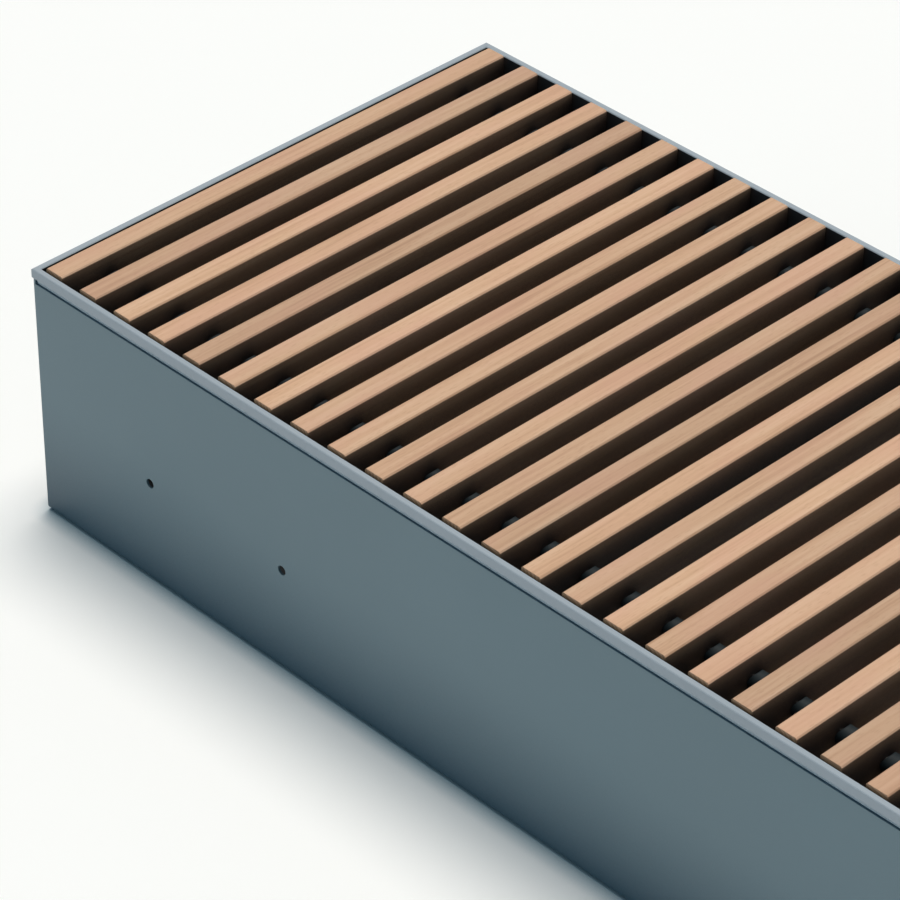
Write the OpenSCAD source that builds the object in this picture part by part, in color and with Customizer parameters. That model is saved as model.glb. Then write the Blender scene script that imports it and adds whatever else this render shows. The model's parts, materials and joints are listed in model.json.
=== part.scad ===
// Trench convector heater with a roll-up wooden grille.
// Frame: origin at the middle of the underside, +X along the length, +Z up, millimetres.
// The end shown in front of the pipes is at -X, and the side with the screed fixings in view is at -Y.

/* [Casing] */
// Overall length over the frame's lips
case_l = 800; // [760:20:1000]
// Overall width over the frame's lips
case_w = 249; // [230:1:320]
// Height from the floor to the top of the frame
case_h = 117; // [110:1:140]
// Thickness of the folded casing sheet
sheet_t = 1; // [0.8:0.1:1.2]
// Outside radius of the casing's folds
fold_r = 2; // [1.6:0.1:3]
// Radius of the screed fixing holes in the long walls
fix_hole_r = 2.1; // [1.5:0.1:3]
// Distance from each end of the heater to the first fixing hole
fix_hole_end = 66; // [50:1:70]
// Distance between the two fixing holes of a pair
fix_hole_gap = 76; // [60:1:90]
// Height of the fixing holes above the floor
fix_hole_z = 48; // [35:1:60]

/* [Top frame] */
// Width of the lip seen from above
lip_w = 2.8; // [2.6:0.1:4]
// Height of the lip's outer face
lip_t = 4; // [3:0.1:5]
// How far the lip stands out past the walls
lip_over = 0.5; // [0.3:0.1:0.8]
// Height of the shadow gap between the lip and the upper edge of the walls
shadow_gap = 2.8; // [2:0.2:4]
// Small bevel on the lip's upper edges
lip_bevel = 0.4; // [0.2:0.1:0.6]
// How far the ledge under the grille reaches in from the outer edge
ledge_reach = 16.5; // [15:0.5:20]
// Thickness of the folded rails that carry the grille
ledge_t = 1.6; // [1.2:0.1:2]
// Height of the rails' flanges
rail_h = 10; // [8:1:14]
// Thickness of the rubber strip that the grille rests on
strip_t = 1.5; // [1:0.1:2]
// Width of the rubber strip
strip_w = 9; // [6:0.5:9.5]

/* [Grille] */
// Width of a slat seen from above
slat_w = 9.5; // [8:0.1:10]
// Height of a slat
slat_h = 18; // [15:0.5:20]
// How far the slats stand proud of the lip
slat_proud = 0.8; // [0:0.1:1.5]
// Nearest spacing wanted between slats; the exact pitch fills the frame
slat_step = 20; // [19:0.5:22]
// Gap between a slat's end and the frame
slat_side_gap = 1; // [0.5:0.1:1.2]
// Gap between the end slat and the frame
slat_end_gap = 1.9; // [1:0.1:2.5]
// Distance of each tension spring from the outer edge of the frame
spring_inset = 28; // [25:1:35]
// Height of the tension springs above the slats' undersides
spring_z = 6.5; // [6:0.5:8]
// Radius of the tension springs
spring_r = 1.5; // [1:0.1:1.8]
// Radius of a spacer, seen along the spring
spacer_r = 4; // [3.5:0.1:4.8]

/* [Heat exchanger] */
// Width of a fin
fin_w = 110; // [90:2:120]
// Height of a fin
fin_h = 50; // [46:1:56]
// Thickness of a fin
fin_t = 0.4; // [0.3:0.1:0.6]
// Distance from one fin to the next
fin_pitch = 6; // [5:1:12]
// Outside radius of the copper tubes
tube_r = 7.5; // [6:0.5:8]
// Wall thickness of the copper tubes
tube_t = 1; // [0.8:0.1:1.2]
// Distance between the supply side and the return side, and between the two ports
tube_gap_y = 60; // [50:2:64]
// Distance between the lower and the upper tube of a side
tube_gap_z = 25; // [22:1:27]
// Height of the ports above the floor
port_z = 42; // [40:1:46]
// Length left free at the -X end for the valves and pipes
bay_l = 200; // [190:5:230]
// Length left free at the +X end for the return bends
bend_l = 70; // [65:1:90]

/* [Pipe connections] */
// Depth of the valves' threaded ports
port_depth = 14; // [10:1:15]
// Radius of the pipe openings through the end plate's grommets
pipe_r = 10; // [9.5:0.5:11]

/* [Levelling] */
// Radius of a levelling screw
level_r = 3; // [2.5:0.5:4]
// Length of a levelling screw
level_l = 40; // [30:1:50]
// Distance of the levelling screws from the heater's middle, along its length
level_x = 300; // [280:5:310]
// Distance of the levelling screws from the heater's middle, across its width
level_y = 104; // [92:1:108]

/* [Hidden] */
$fn = 48;
// Play between parts, and how far a cutting body runs past what it cuts
fit = 0.05;
cut = 1;
half_l = case_l / 2;
half_w = case_w / 2;

// Casing and frame
lip_under_z = case_h - lip_t;
wall_top_z = lip_under_z - shadow_gap;
wall_y = half_w - lip_over;
inside_y = wall_y - sheet_t;
end_x = half_l - lip_over;
inside_x = end_x - sheet_t;
strip_top_z = case_h + slat_proud - slat_h;
ledge_z = strip_top_z - strip_t;
rail_z = ledge_z - rail_h;
leg_u = lip_over + sheet_t;
flange_u = leg_u + ledge_t;
angle_w = 12;
angle_gap = 2;
strip_gap = 0.4;

// Grille
roll_n = 10;
slat_x0 = -half_l + lip_w + slat_end_gap;
slat_len = case_w - 2 * (lip_w + slat_side_gap);
slat_span = -2 * slat_x0 - slat_w;
slat_n = floor(slat_span / slat_step) + 1;
slat_pitch = slat_span / (slat_n - 1);
slat_gap = slat_pitch - slat_w;
slat_bevel = 0.6;
spring_y = half_w - spring_inset;
spring_height = strip_top_z + spring_z;
spring_hole_r = spring_r + 0.2;
ferrule_r = 3;
ferrule_h = 2.8;
ferrule_sink = 0.2;
spacer_curve_r = slat_gap / 2 - fit;

// Heat exchanger
fin_x0 = -half_l + bay_l;
fin_n = floor((case_l - bay_l - bend_l) / fin_pitch) + 1;
fin_x1 = fin_x0 + (fin_n - 1) * fin_pitch + fin_t;
tube_ys = [-tube_gap_y / 2, tube_gap_y / 2];
tube_zs = [port_z - tube_gap_z / 2, port_z + tube_gap_z / 2];
collar_t = 0.7;
plate_t = 1.5;
plate_gap = 5.6;
plate_x0 = fin_x0 - plate_gap - plate_t;
plate_x1 = fin_x1 + plate_gap;
plate_w = fin_w + 10;
plate_top_z = port_z + fin_h / 2 + 5;
pad_t = 2;
foot_l = 20;
foot_screw_y = 42;
foot_screw_r = 2;
foot_screw_inset = 13;
socket_l = 11;
socket_t = 1.1;
socket_x = plate_x1 + plate_t + 0.5;
braze_gap = 0.03;
header_r = 11;
header_x = plate_x0 - 25.5;
header_over = 2;
header_z0 = port_z - fin_h / 2 - header_over;
header_z1 = port_z + fin_h / 2 + header_over;
boss_r = 9.5;
boss_reach = 15;
port_boss_r = 10;
tube_x0 = header_x + header_r - 3.5;
tube_x1 = socket_x + socket_l - 1;
bleed_r = 3;
bleed_depth = 10;
bleed_boss_r = 6;
bleed_boss_h = 4;
baffle_y = fin_w / 2 + 15;
baffle_top_z = 80;
baffle_cap = 12;
baffle_foot = 14;

// Pipe connections; a port has the minor radius of a half-inch pipe thread
port_r = 9.3;
valve_x1 = header_x - 20;
valve_l = 68;
valve_x0 = valve_x1 - valve_l;
inlet_l = 18;
inlet_r = 15;
valve_body_l = 30;
valve_body_r = 13;
neck_x = valve_x0 + inlet_l + valve_body_l / 2 - 1;
neck_r = 10.5;
neck_top_z = port_z + 24;
knob_z = port_z + 18;
knob_play = 0.1;
nut_l = 16;
nut_r = 15.5;
hole_out_r = 14;
grommet_flange = 3;
grommet_lip = 1.1;

// Fixings and levelling
brace_xs = [-110, 240];
brace_w = 20;
brace_h = 7;
brace_t = 1.2;
brace_top_z = rail_z + brace_h;
rivet_r = 1.6;
rivet_u = lip_w + 5;
rivet_in = 8;
key_t = 1.5;
key_l = 42;
key_u = flange_u + 0.3;
level_nut_r = 4.5;
level_nut_h = 14;
level_nut_flange = 2;
level_points = [for (sx = [-1, 1]) for (sy = [-1, 1]) [sx * level_x, sy * level_y]];
// How far a screw or nut through the floor stays clear of the underside
floor_clear = 0.2;

// ---- helpers ----

// Points of a circular fold in a sheet's section, from angle a0 to angle a1
function fold(cx, cy, r, a0, a1) = [for (i = [0:4])
    let (a = a0 + (a1 - a0) * i / 4) [cx + r * cos(a), cy + r * sin(a)]];

// The section of a bar with its other half mirrored in the second axis
function mirrored(points) = concat(points,
    [for (i = [len(points) - 1:-1:0]) [-points[i][0], points[i][1]]]);

// The left face of slat i, counted from the -X end
function slat_x(i) = slat_x0 + i * slat_pitch;

// Where the ferrules of the +X end begin
end_ferrule_x = slat_x(slat_n - 1) + slat_w - ferrule_h - ferrule_sink;

// Sweeps a section drawn in the YZ plane along X, from x0 over length l
module along_x(x0, l) {
    translate([x0, 0, 0])
        rotate([90, 0, 90])
            linear_extrude(height = l)
                children();
}

// Sweeps a section drawn in the XZ plane along Y, centred on the heater's middle line
module along_y(l) {
    rotate([90, 0, 0])
        linear_extrude(height = l, center = true)
            children();
}

// A round bar along X that starts at x
module bar_x(x, y, z, r, l) {
    translate([x, y, z])
        rotate([0, 90, 0])
            cylinder(r = r, h = l);
}

// A hexagonal bar along X that starts at x
module hex_x(x, y, z, r, l) {
    translate([x, y, z])
        rotate([0, 90, 0])
            cylinder(r = r, h = l, $fn = 6);
}

// Copies what follows to the +X and -X halves
module both_ends() {
    children();
    mirror([1, 0, 0]) children();
}

// Copies what follows to the +Y and -Y halves
module both_sides() {
    children();
    mirror([0, 1, 0]) children();
}

// ---- casing ----

// Section of the folded trough: the floor and two plain-edged walls
module trough_section() {
    polygon(mirrored(concat(
        [[0, 0]],
        fold(wall_y - fold_r, fold_r, fold_r, -90, 0),
        [[wall_y, wall_top_z], [inside_y, wall_top_z]],
        fold(wall_y - fold_r, fold_r, fold_r - sheet_t, 0, -90),
        [[0, sheet_t]]
    )));
}

module trough() {
    color("#5f737a") difference() {
        along_x(-end_x, 2 * end_x) trough_section();
        both_ends() for (i = [0, 1])
            translate([half_l - fix_hole_end - i * fix_hole_gap, 0, fix_hole_z])
                rotate([90, 0, 0])
                    cylinder(r = fix_hole_r, h = case_w, center = true);
        for (p = level_points)
            translate([p[0], p[1], -cut])
                cylinder(r = level_nut_r, h = sheet_t + 2 * cut);
        foot_screw_places() translate([0, 0, -cut])
            cylinder(r = foot_screw_r + fit, h = sheet_t + 2 * cut);
    }
}

// One end plate at +X: a flat sheet between the walls
module end_plate() {
    corner = fold_r + 1;
    along_x(inside_x, sheet_t) polygon(mirrored([
        [0, sheet_t], [inside_y - corner, sheet_t], [inside_y, sheet_t + corner],
        [inside_y, wall_top_z], [0, wall_top_z]
    ]));
}

module end_plate_left() {
    color("#5f737a") difference() {
        mirror([1, 0, 0]) end_plate();
        for (y = tube_ys)
            bar_x(-end_x - cut, y, port_z, hole_out_r, sheet_t + 2 * cut);
    }
}

module end_plate_right() {
    color("#5f737a") end_plate();
}

// An L section with its corner at [x, y] and its legs running back from it
module angle_section(x, y, w, t) {
    polygon([[x, y], [x - w, y], [x - w, y - t], [x - t, y - t], [x - t, y - w], [x, y - w]]);
}

// Folded angles spot-welded between each end plate and the walls and floor
module end_angles() {
    upright_z0 = sheet_t + angle_w + angle_gap;
    color("#5f737a") both_ends() {
        both_sides() translate([0, 0, upright_z0])
            linear_extrude(height = rail_z - angle_gap - upright_z0)
                angle_section(inside_x, inside_y, angle_w, sheet_t);
        along_y(2 * (inside_y - angle_gap - fold_r)) translate([0, sheet_t]) mirror([0, 1])
            angle_section(inside_x, 0, angle_w, sheet_t);
    }
}

// ---- top frame ----

// Section of a frame bar, its lip and leg: u runs in from the outer edge of the lip
module frame_section() {
    b = lip_bevel;
    polygon([
        [0, lip_under_z], [0, case_h - b], [b, case_h], [lip_w - b, case_h], [lip_w, case_h - b],
        [lip_w, ledge_z], [leg_u, ledge_z], [leg_u, lip_under_z]
    ]);
}

// Section of a folded rail: the flange on the wall and the ledge that carries the grille
module rail_section() {
    polygon([
        [leg_u, rail_z], [leg_u, ledge_z], [ledge_reach, ledge_z], [ledge_reach, ledge_z - ledge_t],
        [flange_u, ledge_z - ledge_t], [flange_u, rail_z]
    ]);
}

// Trims a bar along X at +Y to its two mitres, each drawn back by a gap
module mitred_side(gap) {
    in = ledge_reach + cut;
    intersection() {
        along_x(-half_l, case_l) translate([half_w, 0]) mirror([1, 0]) children();
        linear_extrude(height = case_h + cut)
            polygon(mirrored([[half_l - gap, half_w], [half_l - in - gap, half_w - in]]));
    }
}

// Trims a bar along Y at +X to its two mitres, each drawn back by a gap
module mitred_end(gap) {
    in = ledge_reach + cut;
    intersection() {
        along_y(case_w) translate([half_l, 0]) mirror([1, 0]) children();
        linear_extrude(height = case_h + cut) rotate(-90)
            polygon(mirrored([[half_w - gap, half_l], [half_w - in - gap, half_l - in]]));
    }
}

module frame_front() {
    color("#868f96") mirror([0, 1, 0]) mitred_side(0) frame_section();
}

module frame_back() {
    color("#868f96") mitred_side(0) frame_section();
}

module frame_left() {
    color("#868f96") mirror([1, 0, 0]) mitred_end(0) frame_section();
}

module frame_right() {
    color("#868f96") mitred_end(0) frame_section();
}

// The four rails under the grille, spot-welded to the walls and the end plates
module seat_rails() {
    color("#7b868b") difference() {
        union() {
            both_sides() mitred_side(fit) rail_section();
            both_ends() mitred_end(fit) rail_section();
        }
        corner_rivet_places() rivet_hole();
    }
}

// The two rivets of each corner: one in the long rail's ledge, one in the end rail's
module corner_rivet_places() {
    both_ends() both_sides() {
        translate([half_l - key_l + rivet_in, half_w - rivet_u, 0]) children();
        translate([half_l - rivet_u, half_w - key_l + rivet_in, 0]) children();
    }
}

module rivet_hole() {
    translate([0, 0, ledge_z - ledge_t - key_t - cut])
        cylinder(r = rivet_r + fit, h = ledge_t + key_t + 2 * cut);
}

// Flat corner plates riveted under the ledges
module corner_keys() {
    key_in = ledge_reach - 0.7;
    color("#9aa0a3") difference() {
        both_ends() both_sides() translate([0, 0, ledge_z - ledge_t - key_t])
            linear_extrude(height = key_t) polygon([
                [half_l - key_u, half_w - key_u], [half_l - key_l, half_w - key_u],
                [half_l - key_l, half_w - key_in], [half_l - key_in, half_w - key_in],
                [half_l - key_in, half_w - key_l], [half_l - key_u, half_w - key_l]
            ]);
        corner_rivet_places() rivet_hole();
    }
}

module corner_rivets() {
    shank = ledge_t + key_t;
    head_h = 1;
    color("silver") corner_rivet_places() translate([0, 0, ledge_z - shank]) {
        cylinder(r = rivet_r, h = shank);
        translate([0, 0, -head_h])
            cylinder(r1 = rivet_r, r2 = rivet_r + head_h, h = head_h);
    }
}

// The rubber strips on the long ledges
module seat_strips() {
    x0 = -half_l + lip_w + strip_gap;
    color("#2b2d2f") both_sides()
        translate([x0, half_w - lip_w - strip_gap - strip_w, ledge_z])
            cube([-2 * x0, strip_w, strip_t]);
}

// Folded channel struts, welded between the rails' flanges, that hold the casing's width
module cross_braces() {
    half = brace_w / 2;
    color("#7b868b") for (x = brace_xs)
        translate([x, 0, brace_top_z]) along_y(2 * (half_w - flange_u)) polygon([
            [-half, -brace_h], [-half, 0], [half, 0], [half, -brace_h],
            [half - brace_t, -brace_h], [half - brace_t, -brace_t],
            [-half + brace_t, -brace_t], [-half + brace_t, -brace_h]
        ]);
}

// ---- heat exchanger ----

// The fins with their drawn collars, which touch and space them along the tubes
module heat_fins() {
    color("#c4c8ca") difference() {
        union() {
            for (i = [0:fin_n - 1])
                translate([fin_x0 + i * fin_pitch, -fin_w / 2, port_z - fin_h / 2])
                    cube([fin_t, fin_w, fin_h]);
            for (y = tube_ys) for (z = tube_zs)
                bar_x(fin_x0, y, z, tube_r + collar_t, fin_x1 - fin_x0);
        }
        for (y = tube_ys) for (z = tube_zs)
            bar_x(fin_x0 - cut, y, z, tube_r, fin_x1 - fin_x0 + 2 * cut);
    }
}

module copper_tubes() {
    color("#b87446") for (y = tube_ys) for (z = tube_zs) difference() {
        bar_x(tube_x0, y, z, tube_r, tube_x1 - tube_x0);
        bar_x(tube_x0 - cut, y, z, tube_r - tube_t, tube_x1 - tube_x0 + 2 * cut);
    }
}

// One brazed return bend: two sockets joined by a half turn of tube
module return_bend() {
    for (y = tube_ys) difference() {
        bar_x(socket_x, y, 0, tube_r + socket_t, socket_l);
        bar_x(socket_x - cut, y, 0, tube_r + braze_gap, tube_x1 - socket_x + cut);
        bar_x(socket_x - cut, y, 0, tube_r - tube_t, socket_l + 2 * cut);
    }
    translate([socket_x + socket_l, 0, 0]) rotate(-90) rotate_extrude(angle = 180)
        translate([tube_gap_y / 2, 0]) difference() {
            circle(r = tube_r);
            circle(r = tube_r - tube_t);
        }
}

module return_bends() {
    color("#b87446") for (z = tube_zs) translate([0, 0, z]) return_bend();
}

// An end sheet of the fin block, folded out at the bottom into its foot
module end_sheet(x, foot_x) {
    foot_z = sheet_t + pad_t;
    color("#a9b0b3") difference() {
        union() {
            translate([x, -plate_w / 2, foot_z])
                cube([plate_t, plate_w, plate_top_z - foot_z]);
            translate([foot_x, -plate_w / 2, foot_z])
                cube([foot_l, plate_w, plate_t]);
        }
        for (y = tube_ys) for (z = tube_zs)
            bar_x(x - cut, y, z, tube_r + fit, plate_t + 2 * cut);
        foot_screw_places() cylinder(r = foot_screw_r + fit, h = foot_z + plate_t + cut);
    }
}

module end_sheet_left() {
    end_sheet(plate_x0, plate_x0 + plate_t - foot_l);
}

module end_sheet_right() {
    end_sheet(plate_x1, plate_x1);
}

module foot_screw_places() {
    for (x = [plate_x0 + plate_t - foot_screw_inset, plate_x1 + foot_screw_inset])
        for (y = [-foot_screw_y, foot_screw_y])
            translate([x, y, 0]) children();
}

// Rubber pads under the feet, a little smaller than the feet
module foot_pads() {
    inset = 2;
    color("#2b2d2f") difference() {
        for (x = [plate_x0 + plate_t - foot_l, plate_x1 + inset])
            translate([x, -plate_w / 2 + inset, sheet_t])
                cube([foot_l - inset, plate_w - 2 * inset, pad_t]);
        foot_screw_places() cylinder(r = foot_screw_r + fit, h = sheet_t + pad_t + cut);
    }
}

module foot_screws() {
    head_z = sheet_t + pad_t + plate_t;
    head_r = 4;
    head_h = 2.4;
    socket_r = 1.4;
    socket_depth = 1.4;
    color("silver") foot_screw_places() difference() {
        union() {
            translate([0, 0, floor_clear])
                cylinder(r = foot_screw_r, h = head_z);
            translate([0, 0, head_z])
                cylinder(r1 = head_r, r2 = head_r - 1, h = head_h);
        }
        translate([0, 0, head_z + head_h - socket_depth])
            cylinder(r = socket_r, h = socket_depth + cut, $fn = 6);
    }
}

// A brass header: a standing barrel with two tube sockets and one port boss
module header(y) {
    difference() {
        union() {
            translate([header_x, y, header_z0])
                cylinder(r = header_r, h = header_z1 - header_z0);
            for (z = tube_zs)
                bar_x(header_x, y, z, boss_r, boss_reach);
            bar_x(valve_x1, y, port_z, port_boss_r, header_x - valve_x1);
        }
        for (z = tube_zs)
            bar_x(tube_x0, y, z, tube_r + braze_gap, boss_reach);
    }
}

module supply_header() {
    color("#c9a04f") header(tube_ys[0]);
}

module return_header() {
    color("#c9a04f") difference() {
        union() {
            header(tube_ys[1]);
            translate([header_x, tube_ys[1], header_z1])
                cylinder(r = bleed_boss_r, h = bleed_boss_h);
        }
        translate([header_x, tube_ys[1], header_z1 + bleed_boss_h - bleed_depth])
            cylinder(r = bleed_r + fit, h = bleed_depth + cut);
    }
}

// The vent screw: a shank in the boss and a slotted head that clears it
module bleed_screw() {
    top = header_z1 + bleed_boss_h;
    head_r = 4.5;
    head_h = 2.5;
    head_gap = 0.3;
    slot_w = 1;
    slot_depth = 1.2;
    tip_gap = 1;
    color("silver") translate([header_x, tube_ys[1], 0]) difference() {
        union() {
            translate([0, 0, top - bleed_depth + tip_gap])
                cylinder(r = bleed_r, h = bleed_depth - tip_gap + head_gap + head_h / 2);
            translate([0, 0, top + head_gap])
                cylinder(r = head_r, h = head_h);
        }
        translate([-head_r - cut, -slot_w / 2, top + head_gap + head_h - slot_depth])
            cube([2 * (head_r + cut), slot_w, slot_depth + cut]);
    }
}

// A folded sheet that parts the falling cold air from the fins
module air_baffle() {
    y0 = baffle_y;
    color("#8c979b") along_x(fin_x0, fin_x1 - fin_x0) polygon([
        [y0, sheet_t], [y0 + baffle_foot, sheet_t], [y0 + baffle_foot, 2 * sheet_t],
        [y0 + sheet_t, 2 * sheet_t], [y0 + sheet_t, baffle_top_z],
        [y0 - baffle_cap, baffle_top_z], [y0 - baffle_cap, baffle_top_z - sheet_t],
        [y0, baffle_top_z - sheet_t]
    ]);
}

// ---- pipe connections ----

// A straight valve: threaded inlet hexagon, body, outlet tail and an upright neck
module valve(y) {
    tail_x = valve_x0 + inlet_l + valve_body_l;
    collar_z = port_z + 12;
    collar_h = 5;
    color("#c3c6c4") difference() {
        union() {
            hex_x(valve_x0, y, port_z, inlet_r, inlet_l);
            bar_x(valve_x0 + inlet_l, y, port_z, valve_body_r, valve_body_l);
            bar_x(tail_x, y, port_z, port_boss_r, valve_x1 - tail_x);
            translate([neck_x, y, port_z])
                cylinder(r = neck_r, h = neck_top_z - port_z);
            translate([neck_x, y, collar_z])
                cylinder(r = valve_body_r, h = collar_h, $fn = 6);
        }
        bar_x(valve_x0 - cut, y, port_z, port_r, port_depth + cut);
    }
}

module supply_valve() {
    valve(tube_ys[0]);
}

module return_valve() {
    valve(tube_ys[1]);
}

module union_nuts() {
    x0 = valve_x1 - nut_l / 2;
    color("#c3c6c4") for (y = tube_ys) difference() {
        hex_x(x0, y, port_z, nut_r, nut_l);
        bar_x(x0 - cut, y, port_z, port_boss_r + fit, nut_l + 2 * cut);
    }
}

// The bore in a handwheel or cap that goes over the neck of its valve
module neck_bore() {
    top_gap = 0.4;
    translate([0, 0, knob_z - cut])
        cylinder(r = neck_r + knob_play, h = neck_top_z + top_gap - knob_z + cut);
}

// The manual handwheel of the supply valve: a fluted cap with a pointer
module supply_handwheel() {
    flutes = 16;
    flute_depth = 0.7;
    outer_r = 15;
    top_z = rail_z - 2;
    crown_h = 2.5;
    pointer_h = 3.5;
    outline = [for (i = [0:flutes * 6 - 1])
        let (a = 360 * i / (flutes * 6), r = outer_r + flute_depth * cos(a * flutes))
        [r * cos(a), r * sin(a)]];
    color("#eef0ee") translate([neck_x, tube_ys[0], 0]) difference() {
        union() {
            translate([0, 0, knob_z]) linear_extrude(height = top_z - knob_z) polygon(outline);
            translate([0, 0, top_z])
                cylinder(r1 = outer_r - 1.5, r2 = outer_r - 4, h = crown_h);
            translate([0, -1, top_z])
                cube([outer_r - 2, 2, pointer_h]);
        }
        neck_bore();
    }
}

// The cap that covers the return valve's balancing spindle
module lockshield_cap() {
    cap_r = 12.5;
    cap_h = 9;
    crown_h = 2;
    grip_r = 7;
    grip_h = 4;
    color("#eef0ee") translate([neck_x, tube_ys[1], 0]) difference() {
        translate([0, 0, knob_z]) {
            cylinder(r = cap_r, h = cap_h);
            translate([0, 0, cap_h])
                cylinder(r1 = cap_r, r2 = cap_r - 2, h = crown_h);
            translate([0, 0, cap_h + crown_h])
                cylinder(r = grip_r, h = grip_h, $fn = 6);
        }
        neck_bore();
    }
}

// Rubber rings snapped into the end plate's pipe openings
module pipe_grommets() {
    outer = hole_out_r + grommet_flange;
    color("#2b2d2f") for (y = tube_ys) difference() {
        union() {
            bar_x(-end_x - grommet_lip, y, port_z, outer, grommet_lip);
            bar_x(-end_x, y, port_z, hole_out_r - fit, sheet_t);
            bar_x(-inside_x, y, port_z, outer, grommet_lip);
        }
        bar_x(-end_x - grommet_lip - cut, y, port_z, pipe_r, 2 * (grommet_lip + cut) + sheet_t);
    }
}

// ---- levelling ----

module rivet_nuts() {
    flange_t = 1.2;
    color("silver") for (p = level_points) translate([p[0], p[1], 0]) difference() {
        union() {
            translate([0, 0, floor_clear])
                cylinder(r = level_nut_r - fit, h = level_nut_h - floor_clear);
            translate([0, 0, sheet_t])
                cylinder(r = level_nut_r + level_nut_flange, h = flange_t);
        }
        translate([0, 0, -cut])
            cylinder(r = level_r + fit, h = level_nut_h + 2 * cut);
    }
}

// Levelling screw i, with a pointed foot and a hexagon socket at the top
module level_screw(i) {
    foot_z = 0.5;
    tip_h = 1;
    socket_r = 1.7;
    socket_depth = 4;
    color("#b9bec0") translate([level_points[i][0], level_points[i][1], foot_z]) difference() {
        union() {
            cylinder(r1 = level_r - tip_h, r2 = level_r, h = tip_h);
            translate([0, 0, tip_h])
                cylinder(r = level_r, h = level_l - tip_h);
        }
        translate([0, 0, level_l - socket_depth])
            cylinder(r = socket_r, h = socket_depth + cut, $fn = 6);
    }
}

// ---- grille ----

// Slat i, with its bevelled top edges and the two bores for the tension springs
module slat(i) {
    b = slat_bevel;
    difference() {
        translate([slat_x(i), 0, strip_top_z]) along_y(slat_len) polygon([
            [b / 2, 0], [slat_w - b / 2, 0], [slat_w, b / 2], [slat_w, slat_h - b],
            [slat_w - b, slat_h], [b, slat_h], [0, slat_h - b], [0, b / 2]
        ]);
        for (y = [-spring_y, spring_y]) {
            bar_x(slat_x(i) - cut, y, spring_height, spring_hole_r, slat_w + 2 * cut);
            if (i == 0)
                bar_x(slat_x(i) - cut, y, spring_height, ferrule_r + fit, ferrule_h + ferrule_sink + cut);
            if (i == slat_n - 1)
                bar_x(end_ferrule_x, y, spring_height, ferrule_r + fit, ferrule_h + ferrule_sink + cut);
        }
    }
}

// The pair of spacers after slat i: each is rounded about the hinge axis and turns against a slat
module spacer_pair(i) {
    for (y = [-spring_y, spring_y])
        translate([slat_x(i) + slat_w + slat_gap / 2, y, spring_height]) difference() {
            intersection() {
                rotate([90, 0, 0])
                    cylinder(r = spacer_curve_r, h = 2 * spacer_r, center = true);
                bar_x(-slat_gap / 2, 0, 0, spacer_r, slat_gap);
            }
            bar_x(-slat_gap / 2, 0, 0, spring_hole_r, slat_gap);
        }
}

// The crimped ferrules that end the springs, sunk in the outer face at x
module ferrule_pair(x) {
    for (y = [-spring_y, spring_y])
        bar_x(x, y, spring_height, ferrule_r, ferrule_h);
}

module panel_slats() {
    color("#c9a37e") for (i = [roll_n:slat_n - 1]) slat(i);
}

module panel_spacers() {
    color("#7d8c93") for (i = [roll_n:slat_n - 2]) spacer_pair(i);
}

module tension_springs() {
    x0 = slat_x(roll_n) + 1;
    color("silver") for (y = [-spring_y, spring_y])
        bar_x(x0, y, spring_height, spring_r, end_ferrule_x - x0);
}

module panel_ferrules() {
    color("silver") ferrule_pair(end_ferrule_x);
}

module roll_ferrules() {
    color("silver") ferrule_pair(slat_x(0) + ferrule_sink);
}

// Link k of the roll, counted from the panel out to the -X end
module roll_slat(k) {
    color("#c9a37e") slat(roll_n - k);
}

module roll_spacers(k) {
    color("#7d8c93") spacer_pair(roll_n - k);
}

trough();
end_plate_left();
end_plate_right();
frame_front();
frame_back();
frame_left();
frame_right();
end_angles();
seat_rails();
corner_keys();
corner_rivets();
seat_strips();
cross_braces();
heat_fins();
copper_tubes();
return_bends();
end_sheet_left();
end_sheet_right();
foot_pads();
foot_screws();
supply_header();
return_header();
air_baffle();
supply_valve();
return_valve();
union_nuts();
pipe_grommets();
rivet_nuts();
level_screw(0);  // level_screw_1
level_screw(1);  // level_screw_2
level_screw(2);  // level_screw_3
level_screw(3);  // level_screw_4
bleed_screw();
supply_handwheel();
lockshield_cap();
panel_slats();
panel_spacers();
tension_springs();
panel_ferrules();
roll_ferrules();
roll_slat(1);  // roll_slat_01
roll_slat(2);  // roll_slat_02
roll_slat(3);  // roll_slat_03
roll_slat(4);  // roll_slat_04
roll_slat(5);  // roll_slat_05
roll_slat(6);  // roll_slat_06
roll_slat(7);  // roll_slat_07
roll_slat(8);  // roll_slat_08
roll_slat(9);  // roll_slat_09
roll_slat(10);  // roll_slat_10
roll_spacers(1);  // roll_spacers_01
roll_spacers(2);  // roll_spacers_02
roll_spacers(3);  // roll_spacers_03
roll_spacers(4);  // roll_spacers_04
roll_spacers(5);  // roll_spacers_05
roll_spacers(6);  // roll_spacers_06
roll_spacers(7);  // roll_spacers_07
roll_spacers(8);  // roll_spacers_08
roll_spacers(9);  // roll_spacers_09
roll_spacers(10);  // roll_spacers_10
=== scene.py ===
"""Looks of a trench convector heater with a roll-up wooden grille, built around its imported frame."""

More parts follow.
